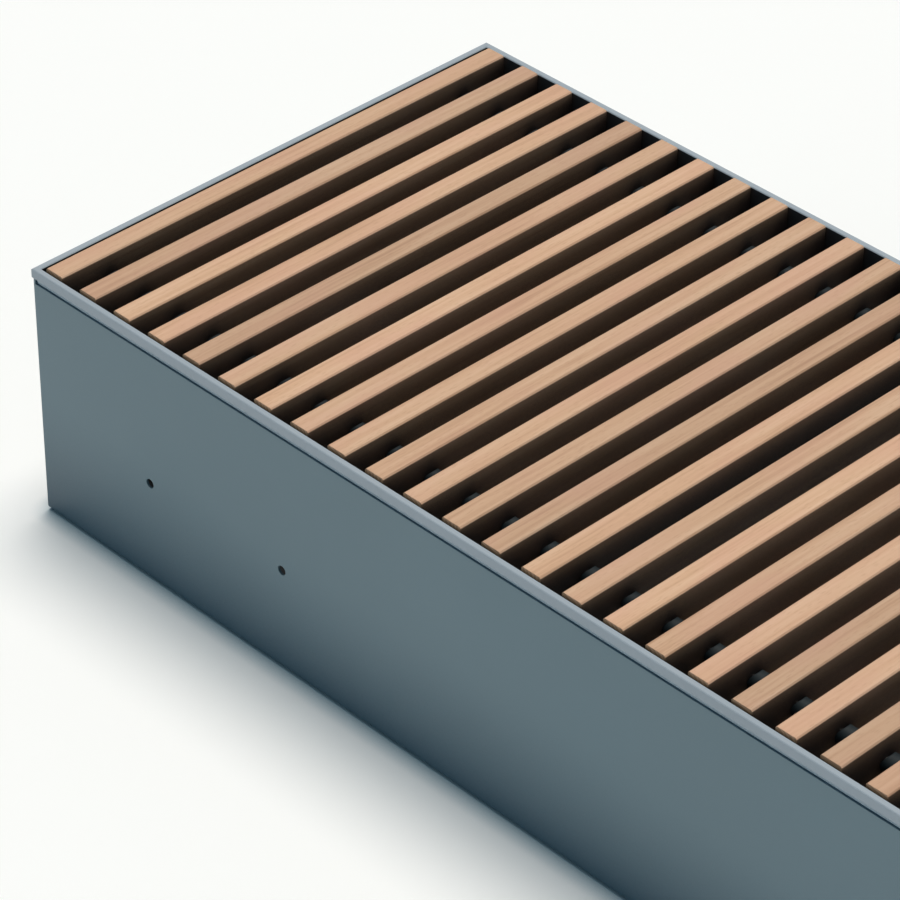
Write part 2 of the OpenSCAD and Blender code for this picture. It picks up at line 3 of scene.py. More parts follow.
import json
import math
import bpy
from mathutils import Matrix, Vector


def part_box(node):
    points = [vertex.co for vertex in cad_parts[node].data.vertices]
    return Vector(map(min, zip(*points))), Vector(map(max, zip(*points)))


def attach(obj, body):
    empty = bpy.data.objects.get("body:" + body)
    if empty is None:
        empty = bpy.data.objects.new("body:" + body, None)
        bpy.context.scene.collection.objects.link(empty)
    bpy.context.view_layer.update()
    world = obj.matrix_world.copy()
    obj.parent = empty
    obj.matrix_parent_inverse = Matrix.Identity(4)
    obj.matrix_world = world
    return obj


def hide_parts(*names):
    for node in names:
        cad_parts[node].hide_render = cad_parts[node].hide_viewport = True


bl_info = {
    "name": "Trench Convector Looks",
    "version": (1, 0, 0),
    "blender": (4, 5, 0),
    "location": "View3D > Sidebar > Trench Convector",
    "description": "Finishes a trench convector heater: painted casing, beech grille, finned exchanger",
    "category": "Object",
}

import bmesh
import bpy
from bpy.props import FloatProperty, FloatVectorProperty, IntProperty, PointerProperty
from mathutils import Euler, Matrix, Vector

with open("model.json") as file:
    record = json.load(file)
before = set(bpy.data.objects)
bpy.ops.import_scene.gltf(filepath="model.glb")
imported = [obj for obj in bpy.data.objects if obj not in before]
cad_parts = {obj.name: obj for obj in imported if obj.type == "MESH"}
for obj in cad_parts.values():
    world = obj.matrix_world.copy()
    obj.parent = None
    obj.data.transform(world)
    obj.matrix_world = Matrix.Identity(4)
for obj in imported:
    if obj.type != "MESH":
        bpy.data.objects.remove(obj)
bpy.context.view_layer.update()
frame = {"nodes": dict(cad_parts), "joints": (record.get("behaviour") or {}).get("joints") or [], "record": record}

# ---- measures of the detail pieces, in metres ----

MM = 0.001
MERGE = 0.001 * MM
SHEET = 1.0 * MM
LIP_FACE = 4.0 * MM
SKIN = 0.05 * MM
TUBE_RADIUS = 7.5 * MM
COLLAR_THICK = 0.7 * MM
FIN_THICK = 0.4 * MM
FIN_PITCH = 6.0 * MM
FIN_FLAT_RING = 3.0 * MM
SOCKET_LENGTH = 11.0 * MM
WELD_RISE = 0.3 * MM
WELD_INSET = 6.0 * MM
HEX_RIM = 0.2 * MM
NUT_CHAMFER = 0.8 * MM
SCREW_TIP = 1.0 * MM
SCREW_SOCKET_RADIUS = 1.7 * MM
SCREW_SOCKET_DEPTH = 4.0 * MM
PORT_RADIUS = 9.3 * MM
PORT_MOUTH = 0.8 * MM
PORT_DEPTH = 14.0 * MM
PORT_THREAD_DEPTH = 0.9 * MM
PORT_BOSS_RADIUS = 10.0 * MM
VALVE_HEX_RADIUS = 15.0 * MM
VALVE_HEX_LENGTH = 18.0 * MM
VALVE_NECK_X = 32.0 * MM
# the hexagon collar on the neck: from, to, radius of its corners
VALVE_COLLAR = (12.0 * MM, 17.0 * MM, 13.0 * MM)
# the spindle's radius and how far its ends lie below the neck's mouth
SPINDLE_RADIUS = 2.6 * MM
SPINDLE_ENDS = (5.0 * MM, 1.2 * MM)
# the ticks on the handwheel: from, to, half width, height; and how many fit round it
TICK = (7.2 * MM, 9.8 * MM, 0.45 * MM, 0.5 * MM)
TICK_SUNK = 0.3 * MM
TICK_PLACES = 8
# from the handwheel's flat crown up to the top of its pointer
POINTER_STEP = 1.0 * MM

# (distance along the axis, radius) in millimetres: the valve's body from its hexagon's inner face and its
# tail from the far end, the neck from the valve's axis and its mouth from the top
VALVE_BODY = ((-1.0, 11.6), (0.5, 11.8), (1.5, 12.6), (3.0, 13.0), (26.0, 13.0), (28.5, 12.2), (30.0, 10.6),
              (31.5, 10.0))
VALVE_TAIL = ((-0.6, 10.0), (0.0, 9.4))
VALVE_NECK = ((0.0, 10.5), (11.0, 10.5), (18.0, 10.5))
VALVE_NECK_TOP = ((-0.8, 10.5), (0.0, 9.7), (0.0, 6.4), (-0.5, 6.0), (-4.0, 6.0))

# points round a turned piece, and rings in one turn of a thread
FINE, MEDIUM, COARSE, ROUGH = 48, 32, 24, 16
THREAD_STEPS = 6

# ---- measures taken from the frame, in metres ----

NODES = frame["nodes"]
JOINTS = {joint["name"]: joint for joint in frame["joints"]}
SLAT_PITCH = JOINTS["roll_01"]["pos_m"][0] - JOINTS["roll_02"]["pos_m"][0]
END_SLAT_LOW, END_SLAT_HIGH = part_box("roll_slat_10")
LEFT_BAR_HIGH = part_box("frame_left")[1]
FRONT_BAR_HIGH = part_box("frame_front")[1]
TROUGH_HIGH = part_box("trough")[1]
# half length, half width and top of the space inside the frame's bars and inside the casing's walls
FRAME_INSIDE = Vector((SKIN - LEFT_BAR_HIGH.x, SKIN - FRONT_BAR_HIGH.y, FRONT_BAR_HIGH.z - 0.5 * MM))
CASING_INSIDE = Vector((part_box("end_plate_right")[1].x - SHEET + SKIN, TROUGH_HIGH.y - SHEET + SKIN,
                        TROUGH_HIGH.z - SKIN))
FINS_LOW, FINS_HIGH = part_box("heat_fins")
TUBES_LOW, TUBES_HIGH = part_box("copper_tubes")
SOCKETS_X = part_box("return_bends")[0].x + SOCKET_LENGTH


# ---- property groups: what a user would change ----

def colour_property(name, description, rgb):
    """A colour setting with a default in linear light."""
    return FloatVectorProperty(
        name=name, description=description, subtype="COLOR", size=3, min=0.0, max=1.0, default=rgb
    )


def length_property(name, description, default, low, high):
    """A length setting in metres."""
    return FloatProperty(
        name=name, description=description, unit="LENGTH", default=default, min=low, max=high
    )


class CasingSettings(bpy.types.PropertyGroup):
    """Colours and coat of the folded casing and its top frame."""

    wall_colour: colour_property(
        "Wall colour", "Blue-grey powder coat of the trough and end plates", (0.112, 0.185, 0.219)
    )
    lip_colour: colour_property(
        "Lip colour", "Lighter powder coat of the aluminium top frame", (0.304, 0.358, 0.402)
    )
    inner_colour: colour_property(
        "Inner colour", "Dark coat inside the casing and the frame", (0.020, 0.023, 0.026)
    )
    coat_grain: length_property("Coat grain", "Size of the powder coat's ripple", 0.0009, 0.0002, 0.004)
    edge_round: length_property(
        "Edge round", "Radius that the light sees on folded and cut edges", 0.0004, 0.0, 0.002
    )


class GrilleSettings(bpy.types.PropertyGroup):
    """Wood of the slats and plastic of the spacers."""

    wood_light: colour_property("Light wood", "Pale streaks of the slats", (0.664, 0.438, 0.285))
    wood_middle: colour_property("Middle wood", "Main tone of the slats", (0.578, 0.351, 0.210))
    wood_dark: colour_property("Dark wood", "Darker grain of the slats", (0.432, 0.236, 0.129))
    wood_red: colour_property("Red wood", "Patches of heartwood", (0.590, 0.320, 0.215))
    tone_spread: FloatProperty(
        name="Tone spread", description="How much one slat differs from the next", subtype="FACTOR",
        default=0.16, min=0.0, max=0.5,
    )
    grain_size: length_property("Grain size", "Width of one grain streak", 0.0011, 0.0003, 0.005)
    spacer_colour: colour_property(
        "Spacer colour", "Moulded plastic of the spacers", (0.006, 0.012, 0.015)
    )


class ExchangerSettings(bpy.types.PropertyGroup):
    """Fins, tubes and headers."""

    fin_ripple: length_property(
        "Fin ripple", "Height of the stiffening ripple pressed into each fin", 0.0005, 0.0, 0.0015
    )
    ripple_count: IntProperty(
        name="Ripples", description="Number of ripples across a fin", default=11, min=3, max=24
    )
    braze_radius: length_property(
        "Braze fillet", "Thickness of the brazing ring where tubes meet", 0.0008, 0.0003, 0.0015
    )


class FixingSettings(bpy.types.PropertyGroup):
    """Threads and spot welds."""

    thread_pitch: length_property(
        "Thread pitch", "Rise of the levelling screws' thread in one turn", 0.001, 0.0005, 0.002
    )
    port_pitch: length_property(
        "Port thread pitch", "Rise of the pipe thread in one turn", 0.0018, 0.001, 0.0025
    )
    weld_radius: length_property("Weld radius", "Radius of a spot weld's dimple", 0.0024, 0.001, 0.004)
    weld_spacing: length_property(
        "Weld spacing", "Distance from one spot weld to the next", 0.03, 0.01, 0.08
    )


class StageSettings(bpy.types.PropertyGroup):
    """Camera, light and floor."""

    azimuth: FloatProperty(
        name="Azimuth", description="Camera's turn about the vertical from looking along +Y",
        subtype="ANGLE", default=math.radians(45.405),
    )
    elevation: FloatProperty(
        name="Elevation", description="Camera's angle above the horizon", subtype="ANGLE",
        default=math.radians(36.381),
    )
    roll: FloatProperty(
        name="Roll", description="Camera's turn about its own line of sight", subtype="ANGLE",
        default=math.radians(0.493),
    )
    camera_place: FloatVectorProperty(
        name="Camera place", description="Where the camera stands", subtype="TRANSLATION", size=3,
        default=(0.65184, -0.93213, 1.00072),
    )
    lens_mm: FloatProperty(name="Lens", description="Focal length in millimetres", default=163.02)
    sky_strength: FloatProperty(
        name="Sky strength", description="Even light from all round", default=0.21, min=0.0, max=2.0
    )
    sun_strength: FloatProperty(
        name="Sun strength", description="Broad main light from above, a little behind", default=2.5,
        min=0.0, max=10.0,
    )
    fill_strength: FloatProperty(
        name="Fill strength", description="Low light on the front wall", default=0.2, min=0.0, max=10.0
    )
    floor_colour: colour_property("Floor colour", "Plain pale floor", (1.0, 0.995, 0.975))


SETTINGS = {
    "casing": CasingSettings,
    "grille": GrilleSettings,
    "exchanger": ExchangerSettings,
    "fixings": FixingSettings,
    "stage": StageSettings,
}


def settings(context, group):
    """The scene's property group of that name."""
    return getattr(context.scene, "trench_" + group)


# ---- node tree helpers ----

FLOAT, VECTOR, GEOMETRY = "NodeSocketFloat", "NodeSocketVector", "NodeSocketGeometry"


def put(tree, kind, inputs=None, **attributes):
    """Adds a node, sets its attributes, and feeds its inputs with values or other nodes' sockets."""
    node = tree.nodes.new(kind)
    for key, value in attributes.items():
        setattr(node, key, value)
    for key, value in (inputs or {}).items():
        if isinstance(value, bpy.types.NodeSocket):
            tree.links.new(value, node.inputs[key])
        else:
            node.inputs[key].default_value = value
    return node


def maths(tree, operation, a, b=0.0, c=0.0, **attributes):
    """One Math node's result."""
    return put(tree, "ShaderNodeMath", {0: a, 1: b, 2: c}, operation=operation, **attributes).outputs[0]


def stretched(tree, vector, factors):
    """A vector with each axis multiplied by its own factor."""
    return put(tree, "ShaderNodeVectorMath", {0: vector, 1: factors}, operation="MULTIPLY").outputs[0]


def ranged(tree, value, low, high, to_low=0.0, to_high=1.0):
    """A value brought from low..high to to_low..to_high and held there."""
    limits = {"From Min": low, "From Max": high, "To Min": to_low, "To Max": to_high}
    return put(tree, "ShaderNodeMapRange", {"Value": value, **limits}).outputs[0]


def noise(tree, vector, scale, detail, roughness=0.5, distortion=0.0):
    """One Noise Texture's value."""
    return put(tree, "ShaderNodeTexNoise", {
        "Vector": vector, "Scale": scale, "Detail": detail, "Roughness": roughness, "Distortion": distortion,
    }).outputs["Fac"]


def object_place(tree):
    """The surface point in object coordinates."""
    return put(tree, "ShaderNodeTexCoord").outputs["Object"]


def axes_of(tree, vector):
    """The X, Y and Z of a vector."""
    return put(tree, "ShaderNodeSeparateXYZ", {0: vector}).outputs


def face_normal(tree):
    """The X, Y and Z of the surface's normal."""
    return axes_of(tree, put(tree, "ShaderNodeNewGeometry").outputs["Normal"])


def rgba(colour):
    """A colour with its alpha."""
    return (*colour, 1.0)


def scaled(colour, factor):
    """A colour made lighter or darker."""
    return [min(1.0, c * factor) for c in colour]


def mix_colour(tree, factor, a, b):
    """One colour Mix node's result; a and b are sockets or plain colours."""
    a, b = (value if isinstance(value, bpy.types.NodeSocket) else rgba(value) for value in (a, b))
    return put(tree, "ShaderNodeMix", {0: factor, 6: a, 7: b}, data_type="RGBA").outputs[2]


def new_tree(name, kind, inputs, outputs):
    """A node group with named sockets; returns the tree, its given values and its result sockets."""
    tree = bpy.data.node_groups.new(name, kind)
    for label, socket, default in inputs:
        made = tree.interface.new_socket(name=label, in_out="INPUT", socket_type=socket)
        if default is not None:
            made.default_value = default
    for label, socket in outputs:
        tree.interface.new_socket(name=label, in_out="OUTPUT", socket_type=socket)
    return tree, tree.nodes.new("NodeGroupInput").outputs, tree.nodes.new("NodeGroupOutput").inputs


def give(tree, result, **values):
    """Links values to a group's result sockets."""
    for label, value in values.items():
        tree.links.new(value, result[label])


# ---- shader groups that several materials share ----

def micro_grain_group():
    """Fine ripple of a moulded or powder-coated surface, as a height and a roughness change."""
    tree, given, result = new_tree(
        "Micro_Grain", "ShaderNodeTree",
        [("Size", FLOAT, 0.001), ("Roughness", FLOAT, 0.4), ("Spread", FLOAT, 0.08)],
        [("Height", FLOAT), ("Roughness", FLOAT)],
    )
    place = object_place(tree)
    fine = noise(tree, place, maths(tree, "DIVIDE", 1.0, given["Size"]), 3.0)
    centred = maths(tree, "SUBTRACT", noise(tree, place, 14.0, 3.0), 0.5)
    drift = maths(tree, "MULTIPLY_ADD", centred, given["Spread"], given["Roughness"])
    give(tree, result, Height=fine, Roughness=drift)
    return tree


def edge_wear_group():
    """A mask that is high where an edge is rubbed, broken up by noise, and the rounded edge's normal."""
    tree, given, result = new_tree(
        "Edge_Wear", "ShaderNodeTree",
        [("Radius", FLOAT, 0.0006), ("Amount", FLOAT, 0.5), ("Break Up", FLOAT, 300.0)],
        [("Mask", FLOAT), ("Normal", VECTOR)],
    )
    rounded = put(tree, "ShaderNodeBevel", {"Radius": given["Radius"]}, samples=4).outputs[0]
    flat = put(tree, "ShaderNodeNewGeometry").outputs["Normal"]
    dot = put(tree, "ShaderNodeVectorMath", {0: rounded, 1: flat}, operation="DOT_PRODUCT").outputs["Value"]
    sharp = maths(tree, "MULTIPLY", maths(tree, "SUBTRACT", 1.0, dot), 6.0)
    broken = maths(tree, "MULTIPLY", sharp, noise(tree, object_place(tree), given["Break Up"], 4.0))
    mask = maths(tree, "MULTIPLY", broken, given["Amount"], use_clamp=True)
    give(tree, result, Mask=mask, Normal=rounded)
    return tree


def settled_dust_group():
    """A mask of thin dust that lies on faces turned upwards."""
    tree, given, result = new_tree(
        "Settled_Dust", "ShaderNodeTree",
        [("Amount", FLOAT, 0.2), ("Patch Size", FLOAT, 0.03)],
        [("Mask", FLOAT)],
    )
    facing = ranged(tree, face_normal(tree)["Z"], 0.5, 1.0)
    scale = maths(tree, "DIVIDE", 1.0, given["Patch Size"])
    patches = ranged(tree, noise(tree, object_place(tree), scale, 6.0, 0.6), 0.35, 0.7)
    thin = maths(tree, "MULTIPLY", patches, given["Amount"])
    give(tree, result, Mask=maths(tree, "MULTIPLY", facing, thin))
    return tree


def drawn_lines_group():
    """Fine lines left by drawing, rolling or turning, stretched along one axis."""
    tree, given, result = new_tree(
        "Drawn_Lines", "ShaderNodeTree",
        [("Stretch", VECTOR, (40.0, 900.0, 900.0)), ("Roughness", FLOAT, 0.35), ("Spread", FLOAT, 0.15)],
        [("Lines", FLOAT), ("Roughness", FLOAT)],
    )
    lines = noise(tree, stretched(tree, object_place(tree), given["Stretch"]), 1.0, 4.0)
    centred = maths(tree, "SUBTRACT", lines, 0.5)
    rough = maths(tree, "MULTIPLY_ADD", centred, given["Spread"], given["Roughness"])
    give(tree, result, Lines=lines, Roughness=rough)
    return tree


def crevice_group():
    """How deep a point lies in a gap or corner: 0 in the open, 1 where hardly any light reaches."""
    tree, given, result = new_tree(
        "Crevice", "ShaderNodeTree",
        [("Reach", FLOAT, 0.004), ("Open", FLOAT, 0.7), ("Shut", FLOAT, 0.2)],
        [("Mask", FLOAT)],
    )
    hidden = put(tree, "ShaderNodeAmbientOcclusion", {"Distance": given["Reach"]}, samples=8)
    give(tree, result, Mask=ranged(tree, hidden.outputs["AO"], given["Open"], given["Shut"]))
    return tree


def inner_side_group():
    """1 on faces that look into the heater from its frame and walls, 0 outside."""
    tree, given, result = new_tree(
        "Inner_Side", "ShaderNodeTree",
        [("Half Length", FLOAT, 0.4), ("Half Width", FLOAT, 0.12), ("Top", FLOAT, 0.117),
         ("Bottom", FLOAT, 0.0005)],
        [("Mask", FLOAT)],
    )
    axes = axes_of(tree, object_place(tree))
    along = maths(tree, "LESS_THAN", maths(tree, "ABSOLUTE", axes["X"]), given["Half Length"])
    across = maths(tree, "LESS_THAN", maths(tree, "ABSOLUTE", axes["Y"]), given["Half Width"])
    below = maths(tree, "LESS_THAN", axes["Z"], given["Top"])
    above = maths(tree, "GREATER_THAN", axes["Z"], given["Bottom"])
    flat = maths(tree, "MULTIPLY", along, across)
    give(tree, result, Mask=maths(tree, "MULTIPLY", flat, maths(tree, "MULTIPLY", below, above)))
    return tree


GROUP_MAKERS = {
    "Inner_Side": inner_side_group,
    "Crevice": crevice_group,
    "Micro_Grain": micro_grain_group,
    "Edge_Wear": edge_wear_group,
    "Settled_Dust": settled_dust_group,
    "Drawn_Lines": drawn_lines_group,
}


def use_group(tree, name, inputs):
    """Places a shared shader group, building it the first time; returns its results."""
    group = bpy.data.node_groups.get(name) or GROUP_MAKERS[name]()
    return put(tree, "ShaderNodeGroup", inputs, node_tree=group).outputs


# ---- materials ----

COAT_DUST = (0.52, 0.51, 0.49)
PLASTIC_DUST = (0.5, 0.49, 0.47)
ZINC_DUST = (0.5, 0.49, 0.46)
ZINC_DARK, ZINC_LIGHT = (0.30, 0.315, 0.33), (0.43, 0.45, 0.46)
RUBBER, RUBBER_BLOOM = (0.020, 0.021, 0.022), (0.16, 0.16, 0.155)
# painted shade deep in the gaps between the slats
SLAT_GAP_SHADE = (0.007, 0.004, 0.004)
# painted shade: how much of each colour channel the casing keeps near the ground, and painted contact shadow: how
# much the floor keeps right beside it
GROUND_SHADE_KEEP = (0.15, 0.32, 0.42)
FLOOR_SHADOW_KEEP = (0.36, 0.48, 0.54)
# how far the floor's painted contact shadow reaches from the heater
FLOOR_SHADOW_REACH = 9.0 * MM
# up to this height the casing's creases get painted shade, and above it painted light that lifts the shadow groove
CREASE_SHADE_HEIGHT = 0.02


def blank_material(name, metallic=0.0):
    """A material with only its Principled shader; returns the material, its tree and the shader."""
    material = bpy.data.materials.new(name)
    material.use_nodes = True
    tree = material.node_tree
    shader = tree.nodes["Principled BSDF"]
    shader.inputs["Metallic"].default_value = metallic
    return material, tree, shader


def edge_wear(tree, radius, amount=0.0, break_up=100.0):
    """The edge wear group's results; without an amount it only rounds the edges."""
    return use_group(tree, "Edge_Wear", {"Radius": radius, "Amount": amount, "Break Up": break_up})


def bump(tree, height, strength, distance, normal=None):
    """A Bump node's normal."""
    inputs = {"Height": height, "Strength": strength, "Distance": distance}
    if normal is not None:
        inputs["Normal"] = normal
    return put(tree, "ShaderNodeBump", inputs).outputs[0]


def surface(tree, shader, colour, roughness, normal):
    """Feeds the Principled shader."""
    for label, value in (("Base Color", colour), ("Roughness", roughness), ("Normal", normal)):
        tree.links.new(value, shader.inputs[label])


def powder_coat(name, colour, casing, ground_shade, inside):
    """Powder-coated sheet: ripple, worn edges, a little dust, painted light and shade in creases, painted shade
    near the ground, dark on the inner side.
    """
    material, tree, shader = blank_material(name)
    ripple = use_group(tree, "Micro_Grain", {"Size": casing.coat_grain, "Roughness": 0.42, "Spread": 0.1})
    wear = edge_wear(tree, casing.edge_round, 0.35, 260.0)
    dust = use_group(tree, "Settled_Dust", {"Amount": 0.10, "Patch Size": 0.05})
    crease = use_group(tree, "Crevice", {"Reach": 0.004, "Open": 0.8, "Shut": 0.3})
    ground = use_group(tree, "Crevice", {"Reach": 0.06, "Open": 1.0, "Shut": 0.5})
    inner = use_group(tree, "Inner_Side", {
        "Half Length": inside.x, "Half Width": inside.y, "Top": inside.z,
    })
    place = object_place(tree)
    base = mix_colour(tree, noise(tree, place, 9.0, 4.0), scaled(colour, 0.9), scaled(colour, 1.08))
    rubbed = mix_colour(tree, wear["Mask"], base, scaled(colour, 1.5))
    dusty = mix_colour(tree, dust["Mask"], rubbed, COAT_DUST)
    # painted shade in the creases near the ground, and painted light in the creases above it, such as the shadow
    # groove under the lip
    foot = ranged(tree, axes_of(tree, place)["Z"], 0.0, CREASE_SHADE_HEIGHT)
    crease_light_and_shade = mix_colour(tree, foot, scaled(colour, 0.3), scaled(colour, 2.6))
    crease_painted = mix_colour(tree, crease["Mask"], dusty, crease_light_and_shade)
    # painted shade on the walls that deepens towards the ground
    shade = maths(tree, "MULTIPLY", ground["Mask"], ground_shade)
    shaded = mix_colour(tree, shade, crease_painted, [c * keep for c, keep in zip(colour, GROUND_SHADE_KEEP)])
    coated = mix_colour(tree, inner["Mask"], shaded, casing.inner_colour)
    surface(tree, shader, coated, ripple["Roughness"],
            bump(tree, ripple["Height"], 0.12, 0.0002, wear["Normal"]))
    return material


def slat_wood(name, values):
    """Oiled beech: long streaks, short dark flecks, rings on the sawn ends, each slat its own tone."""
    material, tree, shader = blank_material(name)
    place = object_place(tree)
    # each slat takes its grain from another place
    middle = 0.5 * (END_SLAT_HIGH.x - END_SLAT_LOW.x)
    start = END_SLAT_LOW.x - 0.5 * SLAT_PITCH + middle
    along = maths(tree, "SUBTRACT", axes_of(tree, place)["X"], start)
    number = maths(tree, "FLOOR", maths(tree, "DIVIDE", along, SLAT_PITCH))
    chance = put(tree, "ShaderNodeTexWhiteNoise", {"W": number}, noise_dimensions="1D").outputs
    jump = stretched(tree, chance["Color"], (3.0, 3.0, 3.0))
    moved = put(tree, "ShaderNodeVectorMath", {0: place, 1: jump}, operation="ADD").outputs[0]
    # streaks and broad bands along the slat
    across = 1.0 / values.grain_size
    streaks = noise(tree, stretched(tree, moved, (across, across * 0.022, across)), 0.55, 5.0, 0.62, 0.35)
    bands = noise(tree, stretched(tree, moved, (90.0, 9.0, 90.0)), 1.0, 3.0)
    grain = maths(tree, "MULTIPLY_ADD", streaks, 0.7, maths(tree, "MULTIPLY", bands, 0.3))
    ramp = put(tree, "ShaderNodeValToRGB", {"Fac": grain})
    stops = ramp.color_ramp.elements
    for stop, position, colour in ((stops[0], 0.30, values.wood_dark), (stops[1], 0.70, values.wood_light)):
        stop.position = position
        stop.color = rgba(colour)
    stops.new(0.47).color = rgba(values.wood_middle)
    # short flecks, the rays of beech
    cells = put(tree, "ShaderNodeTexVoronoi", {
        "Vector": stretched(tree, moved, (1500.0, 160.0, 1500.0)), "Scale": 1.0,
    }, feature="F1")
    fleck = ranged(tree, cells.outputs["Distance"], 0.10, 0.30, 0.55, 0.0)
    flecked = mix_colour(tree, fleck, ramp.outputs["Color"], values.wood_dark)
    # redder heartwood in long soft patches
    patches = noise(tree, stretched(tree, moved, (1.0, 0.3, 1.0)), 70.0, 2.0)
    grown = mix_colour(tree, ranged(tree, patches, 0.42, 0.68, 0.0, 0.45), flecked, values.wood_red)
    # growth rings on the sawn ends, whose middle tone is lifted a little as painted light against the shade they
    # lie in
    rings = put(tree, "ShaderNodeTexWave", {
        "Vector": stretched(tree, moved, (1.0, 0.02, 1.0)), "Scale": 180.0, "Distortion": 5.0, "Detail": 3.0,
    }, wave_type="RINGS", rings_direction="Y")
    sawn = ranged(tree, maths(tree, "ABSOLUTE", face_normal(tree)["Y"]), 0.8, 0.95)
    end_grain_and_painted_light = mix_colour(tree, rings.outputs["Fac"], scaled(values.wood_middle, 1.08), values.wood_dark)
    wood = mix_colour(tree, sawn, grown, end_grain_and_painted_light)
    # tone of the whole slat, and painted shade down the sides between the slats, deeper with depth
    spread = values.tone_spread
    tone = ranged(tree, chance["Value"], 0.0, 1.0, 1.0 - spread, 1.0 + spread * 0.5)
    tinted = put(tree, "ShaderNodeHueSaturation", {"Value": tone, "Color": wood}).outputs[0]
    deep = use_group(tree, "Crevice", {"Reach": 0.03, "Open": 0.68, "Shut": 0.28})
    kept = maths(tree, "MULTIPLY_ADD", sawn, -0.95, 1.0)
    gap_shaded = mix_colour(tree, maths(tree, "MULTIPLY", deep["Mask"], kept), tinted, SLAT_GAP_SHADE)
    surface(tree, shader, gap_shaded, ranged(tree, streaks, 0.0, 1.0, 0.42, 0.62),
            bump(tree, streaks, 0.25, 0.00025, edge_wear(tree, 0.0005)["Normal"]))
    return material


def moulded_plastic(name, colour, roughness, dust_amount=0.12, gloss=0.5):
    """Injection-moulded plastic with a fine matt texture."""
    material, tree, shader = blank_material(name)
    grain = use_group(tree, "Micro_Grain", {"Size": 0.0004, "Roughness": roughness, "Spread": 0.12})
    wear = edge_wear(tree, 0.0004, 0.25, 400.0)
    dust = use_group(tree, "Settled_Dust", {"Amount": dust_amount, "Patch Size": 0.01})
    shader.inputs["Specular IOR Level"].default_value = gloss
    edge = mix_colour(tree, wear["Mask"], colour, scaled(colour, 1.35))
    surface(tree, shader, mix_colour(tree, dust["Mask"], edge, PLASTIC_DUST), grain["Roughness"],
            bump(tree, grain["Height"], 0.15, 0.0001, wear["Normal"]))
    return material


def rubber(name):
    """Dull black rubber with bloom on its upper faces."""
    material, tree, shader = blank_material(name)
    grain = use_group(tree, "Micro_Grain", {"Size": 0.0006, "Roughness": 0.75, "Spread": 0.15})
    dust = use_group(tree, "Settled_Dust", {"Amount": 0.35, "Patch Size": 0.015})
    surface(tree, shader, mix_colour(tree, dust["Mask"], RUBBER, RUBBER_BLOOM), grain["Roughness"],
            bump(tree, grain["Height"], 0.3, 0.0002))
    return material


def galvanised(name):
    """Zinc-coated sheet with its spangle of crystals."""
    material, tree, shader = blank_material(name, metallic=0.85)
    crystals = put(tree, "ShaderNodeTexVoronoi", {"Vector": object_place(tree), "Scale": 170.0})
    shade = put(tree, "ShaderNodeSeparateColor", {0: crystals.outputs["Color"]}).outputs
    lines = use_group(tree, "Drawn_Lines", {
        "Stretch": (300.0, 300.0, 300.0), "Roughness": 0.42, "Spread": 0.2,
    })
    dust = use_group(tree, "Settled_Dust", {"Amount": 0.25, "Patch Size": 0.04})
    zinc = mix_colour(tree, shade["Red"], ZINC_DARK, ZINC_LIGHT)
    rough = ranged(tree, shade["Green"], 0.0, 1.0, 0.32, 0.5)
    surface(tree, shader, mix_colour(tree, dust["Mask"], zinc, ZINC_DUST),
            maths(tree, "MULTIPLY_ADD", lines["Lines"], 0.12, rough),
            bump(tree, shade["Blue"], 0.05, 0.0002, edge_wear(tree, 0.0004)["Normal"]))
    return material


def bare_metal(name, colour, roughness, stretch, tarnish=None):
    """Drawn, rolled or turned metal with fine lines, and tarnish in patches."""
    material, tree, shader = blank_material(name, metallic=1.0)
    lines = use_group(tree, "Drawn_Lines", {"Stretch": stretch, "Roughness": roughness, "Spread": 0.22})
    wear = edge_wear(tree, 0.0003, 0.4, 500.0)
    dull = ranged(tree, noise(tree, object_place(tree), 45.0, 5.0, 0.6), 0.42, 0.68)
    stained = mix_colour(tree, dull, colour, tarnish or scaled(colour, 0.8))
    lined = mix_colour(tree, maths(tree, "MULTIPLY", lines["Lines"], 0.25), stained, scaled(colour, 0.7))
    bright = mix_colour(tree, wear["Mask"], lined, scaled(colour, 1.15))
    surface(tree, shader, bright, maths(tree, "MULTIPLY_ADD", dull, 0.12, lines["Roughness"]),
            bump(tree, lines["Lines"], 0.08, 0.0001, wear["Normal"]))
    return material


def make_materials(context):
    """Every finish of the heater, by its record slot."""
    casing = settings(context, "casing")
    grille = settings(context, "grille")
    return {
        "casing_paint": powder_coat("casing_powder_coat", casing.wall_colour, casing, 1.0, CASING_INSIDE),
        "frame_paint": powder_coat("lip_powder_coat", casing.lip_colour, casing, 0.0, FRAME_INSIDE),
        "slat_wood": slat_wood("oiled_beech", grille),
        "spacer_plastic": moulded_plastic("spacer_plastic", grille.spacer_colour, 0.6, 0.02, 0.25),
        "black_rubber": rubber("black_rubber"),
        "zinc_steel": galvanised("galvanised_sheet"),
        "bright_steel": bare_metal("bright_steel", (0.56, 0.56, 0.55), 0.28, (700.0, 700.0, 60.0)),
        "fin_aluminium": bare_metal("fin_aluminium", (0.72, 0.73, 0.74), 0.34, (60.0, 700.0, 60.0)),
        "copper": bare_metal("drawn_copper", (0.71, 0.36, 0.22), 0.26, (30.0, 900.0, 900.0),
                             (0.38, 0.19, 0.12)),
        "brass": bare_metal("machined_brass", (0.69, 0.50, 0.22), 0.26, (500.0, 500.0, 90.0),
                            (0.50, 0.34, 0.15)),
        "nickel": bare_metal("nickel_plate", (0.66, 0.63, 0.57), 0.18, (90.0, 500.0, 500.0)),
        "white_plastic": moulded_plastic("white_plastic", (0.80, 0.80, 0.77), 0.35),
    }


MATERIALS = {}


def finish(names):
    """Gives CAD nodes the material of their slot."""
    slots = {part["node"]: part["material_slot"] for part in frame["record"]["subparts"]}
    for name in names:
        for slot in NODES[name].material_slots:
            slot.material = MATERIALS[slots[name]]


